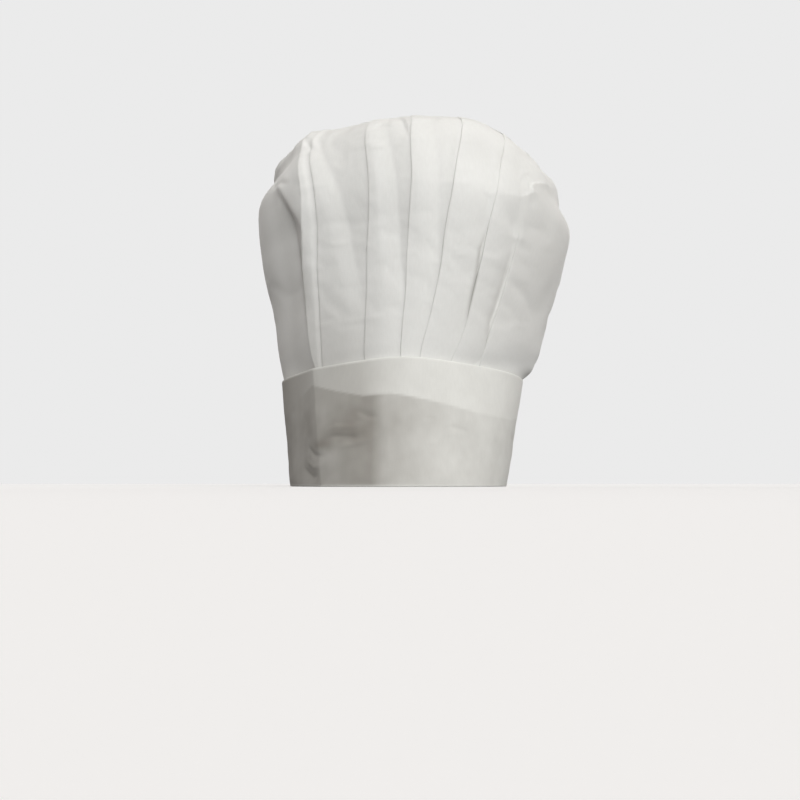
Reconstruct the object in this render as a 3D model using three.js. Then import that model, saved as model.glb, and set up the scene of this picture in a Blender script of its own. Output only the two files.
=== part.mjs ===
// Pleated chef hat of thin white cloth: a folded band round the head, and a tall crown whose pleats
// fan out from the band, turn over a crumpled shoulder and run in to a gathered centre.
// Millimetres, +Z up. The rim stands on z = 0, and the front of the hat faces -Y.
// A direction round the hat is an azimuth in degrees: 0 at the front, 90 at the wearer's left (+X).

import * as THREE from "three";

// Rows of numbers as objects with named values.
function table(names, rows) {
  return rows.map((row) => Object.fromEntries(row.map((value, i) => [names[i], value])));
}

// ---- Driving dimensions ----

const bandHeight = 84;
const bandWall = 1.6; // a strip folded double
const crownWall = 1.2;
const seatGap = 0.5; // between the crown's margin and the band round it
const marginHeight = 23; // how far the crown reaches down inside the band
const bandOffCentre = -8.2; // the crown leans to +X, so the band is off the middle of the hat

// The band's outer face at its two edges. The head makes the rim a long oval; the crown draws the
// top edge round. Both ovals are about 583 mm round, the length of the strip. The top edge is lower
// by sideDrop at the two sides.
const bandEdges = [
  { height: 0, halfWidth: 82.5, halfDepth: 102.5, lean: -3, sideDrop: 0 },
  { height: bandHeight, halfWidth: 92.4, halfDepth: 93.4, lean: 0, sideDrop: 5 },
];

// The crown's outer face, from the top of the band to the gathered centre. It is lower by sideDrop
// at the two sides, by frontDrop at the front, and by cornerDrop on the slumped shoulder. A pleat
// steps back by step at its fold, and the cloth before it starts to dip when it is dip degrees away.
const crownSections = table(
  ["height", "halfWidth", "halfDepth", "lean", "sideDrop", "frontDrop", "cornerDrop", "step", "dip"],
  [
    [97, 97.5, 96, 4.6, 4, 0, 0, 1.3, 2.5],
    [130, 104.5, 102, 7.5, 1.5, 0, 0, 2.2, 4.5],
    [169, 114.8, 110.5, 8.9, 0, 0, 0, 3.2, 7.5],
    [191, 118.3, 114.5, 9.3, 0, 0, 2, 3.6, 9],
    [211, 117, 113.5, 8.2, 0, 1, 7, 3.9, 10],
    [228, 112, 109, 7.9, 0, 3.5, 12, 4, 10],
    [240, 106, 102.5, 8.4, 0, 5.8, 16, 4, 10],
    [247, 98.5, 95, 8.6, 0, 7.6, 16.5, 4.2, 10],
    [250.5, 80, 78, 8.8, 0, 7.6, 13, 4.5, 10],
    [252, 57, 56, 8.9, 0, 6, 8, 4.2, 10],
    [249.5, 34, 33.5, 9, 0, 3, 4, 1.8, 9],
    [243, 16, 16, 9, 0, 2, 2, 0.3, 7],
  ],
);
const rowsBetweenSections = 1; // extra rows that round the wall between two sections

// Where each pleat's fold runs: its azimuth at the band and at four heights above it.
const pleatHeights = { atBand: bandHeight, overBand: 97, atLow: 130, atHigh: 190, atShoulder: 235 };
const pleats = table(
  ["name", "atBand", "overBand", "atLow", "atHigh", "atShoulder"],
  [
    ["outerFrontLeft", -41, -43.5, -45, -40, -44],
    ["innerFrontLeft", -36.5, -37, -38.3, -35, -40],
    ["frontLeft", -16, -17, -17.5, -16, -17.5],
    ["front", -0.7, -2.3, -3, -2, -1.5],
    ["frontRight", 7.2, 6.5, 8, 11, 16],
    ["innerFrontRight", 20.5, 21, 22.2, 25.5, 33],
    ["outerFrontRight", 35, 33, 34.5, 38, 44],
    ["right", 97, 98, 98, 100, 98],
    ["outerBackRight", 122, 122, 122, 121, 120],
    ["innerBackRight", 139, 139.5, 140.5, 143, 143],
    ["backRight", 162, 163, 163, 163, 162],
    ["back", 179, 180, 180, 181, 181],
    ["backLeft", 198, 197, 197, 198, 199],
    ["innerBackLeft", 216, 216, 216, 217, 218],
    ["left", 253, 254, 254, 252, 254],
  ],
);
const foldWidth = 1.3; // how far round the hat a pleat's step takes, at most
const steepestDip = 0.45; // a narrow dip's step is no more than this share of its width
const columnEvery = 10; // degrees between the columns of a plain stretch of cloth

// The hat is stored flat, which leaves two sharp folds opposite each other. In the crown each runs
// along a pleat, and in the band from that pleat's foot to the rim. Beside one the cloth runs
// straighter than the oval, so its face lies inside it.
const storageFolds = ["outerFrontLeft", "innerBackRight"];
const rimTwist = 3; // how many degrees further round these folds are at the rim
const foldSlope = 20; // how fast the face falls inside the oval beside a fold, in mm a radian
const foldReach = 0.42; // radians

// Where the crown has been pushed in. A dent's depth fades over its reach, which is in degrees
// round the hat and in millimetres up the wall.
const dents = table(
  ["name", "azimuth", "height", "depth", "reachRound", "reachUp"],
  [
    ["valleyLow", -54, 145, 3.5, 7, 34],
    ["valleyHigh", -64, 186, 4.5, 9, 26],
    ["leftShoulder", -80, 225, 9, 28, 10],
    ["leftWallBulge", -86, 150, -2.2, 25, 22],
    ["rightShoulder", 74, 207, 6.5, 30, 15],
    ["rightWall", 47, 172, 3, 8, 20],
    ["backWall", 205, 176, 4, 14, 22],
  ],
);

// The slumped shoulder: the middle of it, how far it is at its full drop, and how far it reaches.
const slump = { azimuth: 76, flat: 18, reach: 54 };

// ---- Sections ----

// Every number in a table of sections, smoothly between its rows. at counts rows.
function between(sections, at) {
  const keys = Object.keys(sections[0]);
  const rows = sections.map((_, i) => i);
  const values = sections.flatMap((row) => keys.map((key) => row[key]));
  const Interpolant = sections.length > 2 ? THREE.CubicInterpolant : THREE.LinearInterpolant;
  const found = new Interpolant(rows, values, keys.length).evaluate(at);
  return Object.fromEntries(keys.map((key, i) => [key, found[i]]));
}

// The angle between two azimuths, in radians, from -PI to PI.
function angleBetween(azimuth, other) {
  const turn = THREE.MathUtils.degToRad(azimuth - other);
  return Math.atan2(Math.sin(turn), Math.cos(turn));
}

// How far the cloth lies inside the oval beside the storage folds, at the azimuths folds.
function storageInset(azimuth, folds) {
  return folds.reduce((sum, fold) => {
    const away = Math.abs(angleBetween(azimuth, fold));
    return sum + foldSlope * away * Math.exp(-((away / foldReach) ** 2));
  }, 0);
}

function dentInset(azimuth, height) {
  return dents.reduce((sum, dent) => {
    const round = angleBetween(azimuth, dent.azimuth) / THREE.MathUtils.degToRad(dent.reachRound);
    const up = (height - dent.height) / dent.reachUp;
    return sum + dent.depth * Math.exp(-round * round - up * up);
  }, 0);
}

const noDrop = { frontDrop: 0, cornerDrop: 0 }; // in the band, whose front isn't lowered

// A point on a section's oval, moved inwards by inset.
function onOval(section, azimuth, inset) {
  const a = THREE.MathUtils.degToRad(azimuth);
  const side = (1.25 * Math.sin(a) ** 2) / (Math.sin(a) ** 2 + 0.25);
  const front = ((1 + Math.cos(a)) / 2) ** 2;
  const away = THREE.MathUtils.radToDeg(Math.abs(angleBetween(azimuth, slump.azimuth)));
  const corner = 1 - THREE.MathUtils.smoothstep(away, slump.flat, slump.reach);
  const drop = section.sideDrop * side + section.frontDrop * front + section.cornerDrop * corner;
  return new THREE.Vector3(
    bandOffCentre + section.lean + (section.halfWidth - inset) * Math.sin(a),
    -(section.halfDepth - inset) * Math.cos(a),
    section.height - drop,
  );
}

// ---- Shells ----

// The inner face of a wall: each point moved against its normal, and further at a sharp edge, so
// that the wall keeps its thickness there. An open end keeps its height.
function innerRows(rows, wall, openEnds) {
  const columns = rows[0].length;
  const at = (r, c) => rows[Math.min(Math.max(r, 0), rows.length - 1)][(c + columns) % columns];
  const faceNormal = (a, b, c) =>
    new THREE.Vector3()
      .crossVectors(new THREE.Vector3().subVectors(b, a), new THREE.Vector3().subVectors(c, a))
      .normalize();
  return rows.map((row, r) =>
    row.map((point, c) => {
      const faces = [
        faceNormal(point, at(r, c + 1), at(r + 1, c)),
        faceNormal(point, at(r + 1, c), at(r, c - 1)),
        faceNormal(point, at(r, c - 1), at(r - 1, c)),
        faceNormal(point, at(r - 1, c), at(r, c + 1)),
      ].filter((n) => n.lengthSq() > 0);
      const normal = faces.reduce((sum, n) => sum.add(n), new THREE.Vector3());
      if (openEnds.includes(r)) normal.z = 0;
      normal.normalize();
      const facing = faces.reduce((sum, n) => sum + n.dot(normal), 0) / faces.length;
      return point.clone().addScaledVector(normal, -wall / Math.max(facing, 0.7));
    }),
  );
}

// One closed wall between an outer and an inner face. Rows run upwards, and columns run round.
// An open top is a ring, and a closed one is a fan to a point over the middle of the last row.
function shell(rows, wall, topIsOpen) {
  const last = rows.length - 1;
  const columns = rows[0].length;
  const inner = innerRows(rows, wall, topIsOpen ? [0, last] : [0]);
  const points = [...rows.flat(), ...inner.flat()];
  const outside = (r, c) => r * columns + (c % columns);
  const inside = (r, c) => rows.length * columns + outside(r, c);
  const triangles = [];
  const quad = (a, b, c, d) => triangles.push(a, b, c, a, c, d);
  for (let c = 0; c < columns; c++) {
    for (let r = 0; r < last; r++) {
      quad(outside(r, c), outside(r, c + 1), outside(r + 1, c + 1), outside(r + 1, c));
      quad(inside(r, c), inside(r + 1, c), inside(r + 1, c + 1), inside(r, c + 1));
    }
    quad(outside(0, c), inside(0, c), inside(0, c + 1), outside(0, c + 1));
    if (topIsOpen) {
      quad(outside(last, c), outside(last, c + 1), inside(last, c + 1), inside(last, c));
    }
  }
  if (!topIsOpen) {
    const middleOf = (row) =>
      row.reduce((sum, p) => sum.add(p), new THREE.Vector3()).divideScalar(row.length);
    const outerMiddle = points.push(middleOf(rows[last])) - 1;
    const innerMiddle = points.push(middleOf(inner[last])) - 1;
    for (let c = 0; c < columns; c++) {
      triangles.push(outside(last, c), outside(last, c + 1), outerMiddle);
      triangles.push(inside(last, c + 1), inside(last, c), innerMiddle);
    }
  }
  const geometry = new THREE.BufferGeometry().setFromPoints(points).setIndex(triangles);
  geometry.computeVertexNormals();
  return geometry;
}

// ---- Folds ----

// A pleat's azimuth at a height. Above its table it runs straight on to the centre.
function pleatAzimuth(pleat, height) {
  const heights = Object.values(pleatHeights);
  const azimuths = Object.keys(pleatHeights).map((key) => pleat[key]);
  const within = THREE.MathUtils.clamp(height, bandHeight, pleatHeights.atShoulder);
  const [azimuth] = new THREE.CubicInterpolant(heights, azimuths, 1).evaluate(within);
  return azimuth + rimTwist * Math.max(0, 1 - height / bandHeight);
}

function storageAzimuths(height) {
  return storageFolds.map((name) => pleatAzimuth(pleats.find((p) => p.name === name), height));
}

// ---- Band ----

function makeBand() {
  const columns = 80;
  const rows = [0, 0.5, 1].map((up) => {
    const edge = between(bandEdges, up);
    const folds = storageAzimuths(edge.height);
    return Array.from({ length: columns }, (_, c) => {
      const azimuth = folds[0] + (c * 360) / columns; // so that a column runs along each fold
      return onOval({ ...edge, ...noDrop }, azimuth, storageInset(azimuth, folds));
    });
  });
  return shell(rows, bandWall, true);
}

// ---- Crown ----

// The crown's margin follows the band's inner face.
function marginSection(height, step, dip) {
  const edge = between(bandEdges, height / bandHeight);
  const inset = bandWall + seatGap;
  return {
    height,
    halfWidth: edge.halfWidth - inset,
    halfDepth: edge.halfDepth - inset,
    lean: edge.lean,
    sideDrop: edge.sideDrop,
    ...noDrop,
    step,
    dip,
  };
}

// The crown's columns at one section: for each pleat its fold, the cloth after it, the dip towards
// the next pleat and the foot of that pleat's step. Each is {azimuth, inset}.
function crownColumns(section) {
  const folds = pleats.map((pleat) => pleatAzimuth(pleat, section.height));
  const meanRadius = (section.halfWidth + section.halfDepth) / 2;
  return pleats.flatMap((pleat, i) => {
    const isLast = i + 1 === pleats.length;
    const next = isLast ? 0 : i + 1;
    const turn = isLast ? 360 : 0;
    const end = folds[next] + turn;
    const span = end - folds[i];
    const spanAtBand = pleats[next].atBand + turn - pleat.atBand;
    const plain = Math.max(1, Math.round(spanAtBand / columnEvery));
    const dip = Math.min(section.dip, span * 0.55);
    const foot = Math.min(THREE.MathUtils.radToDeg(foldWidth / meanRadius), dip * 0.3);
    const dipWidth = THREE.MathUtils.degToRad(dip) * meanRadius;
    const step = Math.min(section.step, steepestDip * dipWidth);
    const columns = [];
    for (let k = 0; k <= plain; k++) {
      const along = k / plain;
      columns.push({ azimuth: folds[i] + along * (span - dip), inset: 0.2 * along * step });
    }
    columns.push({ azimuth: end - (dip + foot) / 2, inset: 0.7 * step });
    columns.push({ azimuth: end - foot, inset: step });
    return columns;
  });
}

function crownRow(section) {
  const folds = storageAzimuths(section.height);
  const fade = Math.min(1, section.halfWidth / bandEdges[1].halfWidth) ** 2; // towards the centre
  return crownColumns(section).map(({ azimuth, inset }) => {
    const dips = storageInset(azimuth, folds) + dentInset(azimuth, section.height);
    return onOval(section, azimuth, inset + fade * dips);
  });
}

function makeCrown() {
  const sections = [
    marginSection(bandHeight - marginHeight, 0.7, 1.8),
    marginSection(bandHeight, 0.8, 2),
    ...crownSections,
  ];
  const rows = [crownRow(sections[0])];
  for (let i = 1; i < sections.length; i++) {
    const parts = i + 1 < sections.length ? rowsBetweenSections + 1 : 1;
    for (let k = 0; k < parts; k++) rows.push(crownRow(between(sections, i + k / parts)));
  }
  return shell(rows, crownWall, false);
}

// ---- The hat ----

const whiteCloth = { roughness: 0.9, metalness: 0 };

const band = new THREE.Mesh(
  makeBand(),
  new THREE.MeshStandardMaterial({ color: 0xdcdbd5, ...whiteCloth }),
);
band.name = "band";

const crown = new THREE.Mesh(
  makeCrown(),
  new THREE.MeshStandardMaterial({ color: 0xe6e6e1, ...whiteCloth }),
);
crown.name = "crown";

const hat = new THREE.Group();
hat.name = "chef_hat";
hat.add(band, crown);

export default hat;
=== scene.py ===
"""Looks of a pleated chef hat: thin white non-woven cloth, standing on the rim of its band.

Tables are in millimetres and degrees. A direction round the hat is an azimuth: 0 at the front (-Y),
90 at +X. Heights count from the rim. A level is how far the cloth lies outside its base oval. A run
is a distance up the crown's profile from the band's top edge. A tone is how light the cloth is: 1
gives it its own colour, which wanders a little at random. Below 1 it is painted shade, where the
cloth turns from the light, along folds and creases and on the band's thin single strip, and above 1
it is painted light.
"""

import math

import bpy
import numpy as np
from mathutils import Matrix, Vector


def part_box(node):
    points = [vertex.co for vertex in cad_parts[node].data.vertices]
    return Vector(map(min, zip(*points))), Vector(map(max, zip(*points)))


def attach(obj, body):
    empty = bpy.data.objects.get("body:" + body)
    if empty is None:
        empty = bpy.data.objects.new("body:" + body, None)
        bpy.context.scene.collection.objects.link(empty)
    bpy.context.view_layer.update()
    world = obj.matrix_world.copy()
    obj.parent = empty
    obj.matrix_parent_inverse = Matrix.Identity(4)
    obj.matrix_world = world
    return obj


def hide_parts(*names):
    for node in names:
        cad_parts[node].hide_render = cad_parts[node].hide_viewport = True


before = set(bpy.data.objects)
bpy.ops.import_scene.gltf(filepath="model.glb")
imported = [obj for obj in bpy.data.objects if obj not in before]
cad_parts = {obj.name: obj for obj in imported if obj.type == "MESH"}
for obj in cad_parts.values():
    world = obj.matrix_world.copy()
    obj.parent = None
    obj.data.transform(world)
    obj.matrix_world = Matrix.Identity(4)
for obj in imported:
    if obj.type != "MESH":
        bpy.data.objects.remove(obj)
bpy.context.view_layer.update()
MM = 0.001

# ---- Sizes ----

band_lo, band_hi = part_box("band")
crown_lo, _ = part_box("crown")
BAND_HEIGHT = band_hi.z / MM
EDGE_DROP = 5.0  # how much lower the band's top edge is at the two sides
MARGIN_LOWEST = crown_lo.z / MM / (1 - EDGE_DROP / BAND_HEIGHT)  # the crown's raw edge, undropped
BAND_LEAN_AT_RIM = -3.0
BAND_CENTRE_X = (band_lo.x + band_hi.x) / 2 / MM - BAND_LEAN_AT_RIM
BAND_CLOTH = 1.3  # the strip folded double
SEAT_INSET = 2.1  # from the band's outer face to the crown's margin

# Each section is an oval. It leans to +X, and is lower at its sides, front and front right corner.
SECTION_COLUMNS = ("height", "half_width", "half_depth", "lean", "sides", "front", "corner")
CORNER_AZIMUTH = 76.0
CORNER_FLAT, CORNER_REACH = math.radians(18), math.radians(54)
SIDE_DROP_ONSET = 0.25  # the smaller, the nearer to the front and the back the sides' drop starts
BAND_EDGES = (
    (0.0, 82.5, 102.5, BAND_LEAN_AT_RIM, 0.0, 0.0, 0.0),
    (BAND_HEIGHT, 92.4, 93.4, 0.0, EDGE_DROP, 0.0, 0.0),
)
CROWN_SECTIONS = (
    (89.0, 92.5, 92.4, 0.9, 4.8, 0.0, 0.0),
    (97.0, 96.2, 94.1, 3.0, 4.0, 0.0, 0.0),
    (130.0, 104.5, 101.2, 7.5, 1.5, 0.0, 0.0),
    (169.0, 114.8, 110.5, 8.9, 0.0, 0.0, 0.0),
    (191.0, 118.3, 114.5, 9.3, 0.0, 0.0, 2.0),
    (211.0, 117.0, 113.5, 8.2, 0.0, 1.0, 7.0),
    (228.0, 112.0, 109.0, 7.9, 0.0, 3.5, 12.0),
    (240.0, 106.0, 102.5, 8.4, 0.0, 5.8, 16.0),
    (247.0, 98.5, 95.0, 8.6, 0.0, 7.6, 16.5),
    (250.5, 80.0, 78.0, 8.8, 0.0, 7.6, 13.0),
    (252.0, 57.0, 56.0, 8.9, 0.0, 6.0, 8.0),
    (249.5, 34.0, 33.5, 9.0, 0.0, 3.0, 4.0),
    (243.0, 16.0, 16.0, 9.0, 0.0, 2.0, 2.0),
    (238.0, 4.0, 4.0, 9.0, 0.0, 1.0, 1.0),
)
WIDEST_HEIGHT = max(CROWN_SECTIONS, key=lambda section: section[1])[0]
SHOULDER_SECTION = 11  # in the whole table, which starts with two rows inside the band
PROFILE_STEPS = 6000
SPACING_IN_BAND, SPACING_AT_CENTRE = 5.0, 2.4
ROW_SPACING = (
    # run, distance from one row to the next
    (-1.0, 3.0), (0.0, 1.0), (12.0, 1.0), (25.0, 1.5), (165.0, 1.5), (185.0, 2.0),
)

# Each pleat: the azimuth of its fold at FOLD_HEIGHTS, how firmly the fold is pressed at
# FIRM_HEIGHTS, and the soft valley between this fold and the next. The valley meets the next fold
# at the apex height, and at the shoulder it is share of the way across from this fold.
FOLD_HEIGHTS = (BAND_HEIGHT, 97.0, 130.0, 190.0, 235.0)
FIRM_HEIGHTS = (BAND_HEIGHT, 145.0, 168.0, 190.0, 215.0)
FIRM = (1.0, 1.0, 1.0, 1.0, 1.0)
PLEATS = (
    # fold azimuths, firmness, valley's (apex, share, depth, width of its near side), columns
    ((-41.0, -43.5, -45.0, -40.0, -44.0), FIRM, (130.0, 0.70, 0.0, 4.0), 10),
    ((-36.5, -37.0, -38.3, -35.0, -40.0), FIRM, (117.0, 0.10, 1.1, 14.0), 30),
    ((-16.0, -17.0, -17.5, -16.0, -17.5), FIRM, (118.0, 0.48, 1.2, 14.0), 30),
    ((-0.7, -2.3, -3.0, -2.0, -1.5), FIRM, (136.0, 0.40, 1.2, 14.0), 28),
    ((7.2, 6.5, 8.0, 11.0, 16.0), (0.8, 1.2, 1.2, 1.1, 1.0), (150.0, 0.60, 0.8, 14.0), 30),
    ((20.5, 21.0, 22.2, 25.5, 33.0), (0.4, 1.9, 1.6, 0.3, 1.2), (140.0, 0.60, 0.8, 14.0), 22),
    ((35.0, 33.0, 34.5, 38.0, 44.0), (1.0, 0.9, 0.1, 0.0, 0.0), (130.0, 0.50, 0.5, 14.0), 78),
    ((97.0, 98.0, 98.0, 100.0, 98.0), FIRM, (120.0, 0.50, 2.0, 14.0), 20),
    ((122.0, 122.0, 122.0, 121.0, 120.0), FIRM, (125.0, 0.40, 2.2, 14.0), 16),
    ((139.0, 139.5, 140.5, 143.0, 143.0), FIRM, (115.0, 0.50, 2.2, 14.0), 16),
    ((162.0, 163.0, 163.0, 163.0, 162.0), FIRM, (130.0, 0.40, 2.4, 14.0), 16),
    ((179.0, 180.0, 180.0, 181.0, 181.0), FIRM, (120.0, 0.50, 2.4, 14.0), 16),
    ((198.0, 197.0, 197.0, 198.0, 199.0), FIRM, (128.0, 0.45, 2.2, 14.0), 16),
    ((216.0, 216.0, 216.0, 217.0, 218.0), FIRM, (118.0, 0.50, 2.0, 14.0), 26),
    ((253.0, 254.0, 254.0, 252.0, 254.0), FIRM, (107.0, 0.78, 2.6, 60.0), 58),
)
WEDGE_PAINTED_SHADE = 0.99  # painted shade of the cloth between a valley and the next fold
WEDGE_EDGE, WEDGE_DEPTH = (-4, 1), 1.5  # its soft edge at the valley, and the depth that it needs
LAP = 0.75  # how far a fold's outer face lies over the cloth that runs under it
LEAST_LAP = 0.25  # where a fold isn't pressed
LAP_AT_CENTRE, LAP_SHRINKS = 0.3, (3, 45)  # the share that is left there, and between which radii
FIRM_ON_TOP = (98, 70)  # on the top every fold gets firm, between these radii
FOLD_GAP = 0.12  # how far a fold's turned-in side lies over the cloth under the fold
UNDERLAP = (12.0, 8.0, 3.0)  # at the band, at the widest height and at the top's centre
UNDERLAP_MOST = 0.6  # as a share of the next pleat's width
UNDERLAP_STEPS = (0.3, 0.65, 1.0)  # where its points are, as shares of its depth
UNDERLAP_RISE = 0.15  # how far its layer that comes back lies over its layer that goes in
VALLEY_PLACES = (0.05, 0.98)  # how near a valley comes to the two folds, as shares of the way
VALLEY_DEEPENS = (-5, 50)  # between these heights from its apex
VALLEY_OPENS = (25, 95)  # between these radii on the top
VALLEY_SIDE_MOST = 0.85  # of its near side, as a share of the way from its own fold
WANDERS = (
    # how far a fold strays to each side, and the run in which it sways by a radian
    (0.3, 17.0),
    (0.15, 6.0),
)
WANDERS_FROM = (0, 25)  # the runs between which it starts to

# The hat is stored flat, which leaves two sharp folds opposite each other.
STORAGE_PLEATS = (0, 9)
RIM_TWIST = 3.0  # how many degrees further round they are at the rim
STORAGE_REACH = 0.42  # radians
STORAGE_SLOPES = (
    # height, then the slope before the fold and after it, in mm a radian
    (BAND_HEIGHT, 20.0, 4.0),
    (110.0, 20.0, 10.0),
    (170.0, 20.0, 36.0),
    (205.0, 5.0, 36.0),
)

# Soft hollows; a depth below 0 makes a bulge.
DENTS = (
    # azimuth, height, depth, reach round in degrees, reach up in mm
    (-80.0, 225.0, 9.0, 28.0, 10.0),
    (-86.0, 145.0, -2.0, 25.0, 30.0),
    (74.0, 207.0, 6.5, 30.0, 15.0),
    (88.0, 91.5, -3.0, 18.0, 4.5),
    (88.0, 100.0, -2.4, 20.0, 8.0),
    (205.0, 176.0, 4.0, 14.0, 22.0),
)

# A crease's left and right are as seen by someone who goes along its points outside the hat.
CREASE_TAPER = 0.35  # the share of a crease's length over which each end fades out
CREASE_SHARPNESS = 1.4  # 1 gives a crease straight flanks, and more gives it a sharper ridge
CREASES = (
    # outwards, width on its left, width on its right, then its points as (azimuth, height)
    # the tucks at the front left corner and at the front fold
    (-0.9, 4.0, 1.5, (-46.0, 243.0), (-42.0, 232.0), (-36.0, 219.0)),
    (0.5, 2.0, 4.0, (-44.0, 243.0), (-39.0, 232.0), (-34.0, 219.0)),
    (-1.4, 1.5, 8.0, (-8.0, 249.0), (-4.0, 236.0), (-1.5, 219.0)),
    (0.8, 2.0, 4.0, (-21.0, 244.0), (-15.0, 242.0), (-9.0, 244.0), (-5.0, 236.0)),
    (-0.7, 3.0, 1.5, (-18.0, 232.0), (-12.0, 234.0), (-6.0, 230.0)),
    (0.5, 1.8, 4.0, (-16.0, 216.0), (-9.0, 216.0)),
    # the notch in the left shoulder, the valley under it and the facet beside it
    (1.2, 16.0, 1.8, (-84.0, 226.0), (-64.0, 219.0), (-54.0, 214.0), (-47.0, 208.0)),
    (-0.9, 1.8, 4.0, (-64.0, 212.0), (-53.0, 208.0), (-45.0, 202.0)),
    (-2.0, 34.0, 13.0, (-46.5, 110.0), (-48.0, 146.0), (-47.5, 167.0), (-48.5, 185.0),
     (-52.5, 202.0)),
    (2.6, 15.0, 5.5, (-60.0, 216.0), (-52.0, 201.0), (-46.5, 185.0), (-40.0, 168.0)),
    # the roll and the curl on the right shoulder, and what runs down from them
    (0.8, 18.0, 14.0, (34.0, 192.0), (40.0, 198.0), (52.0, 214.0), (64.0, 218.0)),
    (0.8, 1.3, 7.0, (27.0, 187.0), (31.5, 188.0), (35.0, 188.5), (38.0, 191.5), (40.5, 195.0),
     (39.5, 198.5), (41.0, 202.0), (45.0, 206.5), (51.0, 213.0), (56.0, 216.0)),
    (0.5, 3.0, 2.0, (32.0, 192.0), (38.0, 208.0), (44.0, 214.0)),
    (0.6, 3.0, 3.0, (20.5, 187.0), (25.0, 183.0)),
    (-0.8, 8.0, 12.0, (27.0, 184.0), (31.0, 174.0), (36.0, 160.0)),
    (0.5, 6.0, 8.0, (37.0, 182.0), (38.0, 168.0), (37.0, 152.0)),
    (-1.0, 8.0, 1.3, (34.0, 86.0), (32.0, 110.0), (33.5, 130.0), (35.0, 152.0), (36.5, 166.0)),
    # small wrinkles of the wall
    (0.35, 1.6, 2.2, (-33.0, 158.5), (-28.0, 157.5), (-23.0, 158.5)),
    (-0.3, 1.6, 2.0, (10.0, 151.0), (16.0, 153.0), (22.0, 152.0)),
    (0.3, 1.6, 1.8, (11.0, 145.0), (19.0, 149.0)),
    (0.25, 1.6, 2.0, (15.0, 123.0), (21.0, 127.0)),
    (0.25, 1.6, 2.0, (27.0, 134.0), (33.0, 137.0)),
    (-0.3, 1.8, 2.0, (38.0, 134.0), (45.0, 137.0), (52.0, 136.0)),
    (-0.3, 1.8, 2.0, (44.0, 113.0), (52.0, 116.0), (58.0, 115.0)),
    (-0.6, 1.5, 1.5, (33.0, 84.0), (34.0, 92.0)),
)

# The bumps and wrinkles that the tables above don't list. All of them rise from the band's edge.
BUMPS_RISE, SMALL_RISE = (0, 10), (4, 30)  # between these runs, the small ones more slowly
BROAD_BUMPS, BROAD_BUMPS_APART = 0.5, 60
PUCKERS = ((29, 0.4), (41, 2.1), (53, 4.0))  # how many there are all round, and a phase
PUCKER_HEIGHT, PUCKER_SWAY = 0.35, 11  # and the radius in which they sway by a radian
PUCKERS_RISE, PUCKERS_END = (75, 25), (3, 12)  # the radii between which they do so
CRINKLE_COUNT = 260
CRINKLE_ENDS = (3, 25)  # none lies nearer to the band, or to the centre of the top
CRINKLES_ANYWHERE = 0.6  # the share that lies anywhere; the rest is near the shoulder
CRINKLE_BELT = (150, 22)  # the run of the rest, and its spread
CRINKLE_HALVES, CRINKLE_HEIGHTS, CRINKLE_WIDTHS = (4, 16), (0.08, 0.3), (1.5, 3.5)

LIGHTEST_TONE = 1.12  # keeps the cloth's colour darker than pure white
# Soft spots of painted shade and painted light: shade where the cloth turns from the light and a
# painted shadow low on its front left, light on facets that turn towards the light.
CROWN_PAINTED_SPOTS = (
    # azimuth, height, reach round in mm, reach up in mm, shade
    (-36.0, 86.0, 34.0, 40.0, -0.18),
    (-60.0, 95.0, 30.0, 60.0, -0.06),
    (-20.0, 92.0, 20.0, 26.0, -0.10),
    (-12.0, 190.0, 7.0, 50.0, 0.07),
    (-39.0, 190.0, 7.0, 40.0, 0.05),
    (-82.0, 185.0, 22.0, 60.0, 0.12),
    (-47.0, 212.0, 12.0, 20.0, 0.12),
    (-56.0, 226.0, 14.0, 10.0, 0.12),
    (-86.0, 234.0, 16.0, 12.0, 0.14),
    (48.0, 150.0, 44.0, 56.0, -0.17),
    (26.0, 112.0, 26.0, 30.0, -0.07),
    (82.0, 165.0, 22.0, 34.0, 0.10),
    (82.0, 94.0, 26.0, 16.0, 0.12),
    (60.0, 90.0, 34.0, 8.0, 0.12),
    (90.0, 200.0, 18.0, 44.0, 0.12),
    (-98.0, 230.0, 26.0, 18.0, 0.16),
    (-100.0, 190.0, 20.0, 50.0, 0.08),
    (-72.0, 165.0, 14.0, 60.0, -0.06),
    (-60.0, 208.0, 10.0, 9.0, 0.10),
    (20.0, 192.0, 20.0, 12.0, 0.04),
    (18.0, 216.0, 24.0, 10.0, -0.03),
    (-56.0, 150.0, 9.0, 60.0, -0.09),
    (-54.0, 198.0, 6.0, 7.0, 0.12),
)
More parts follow.
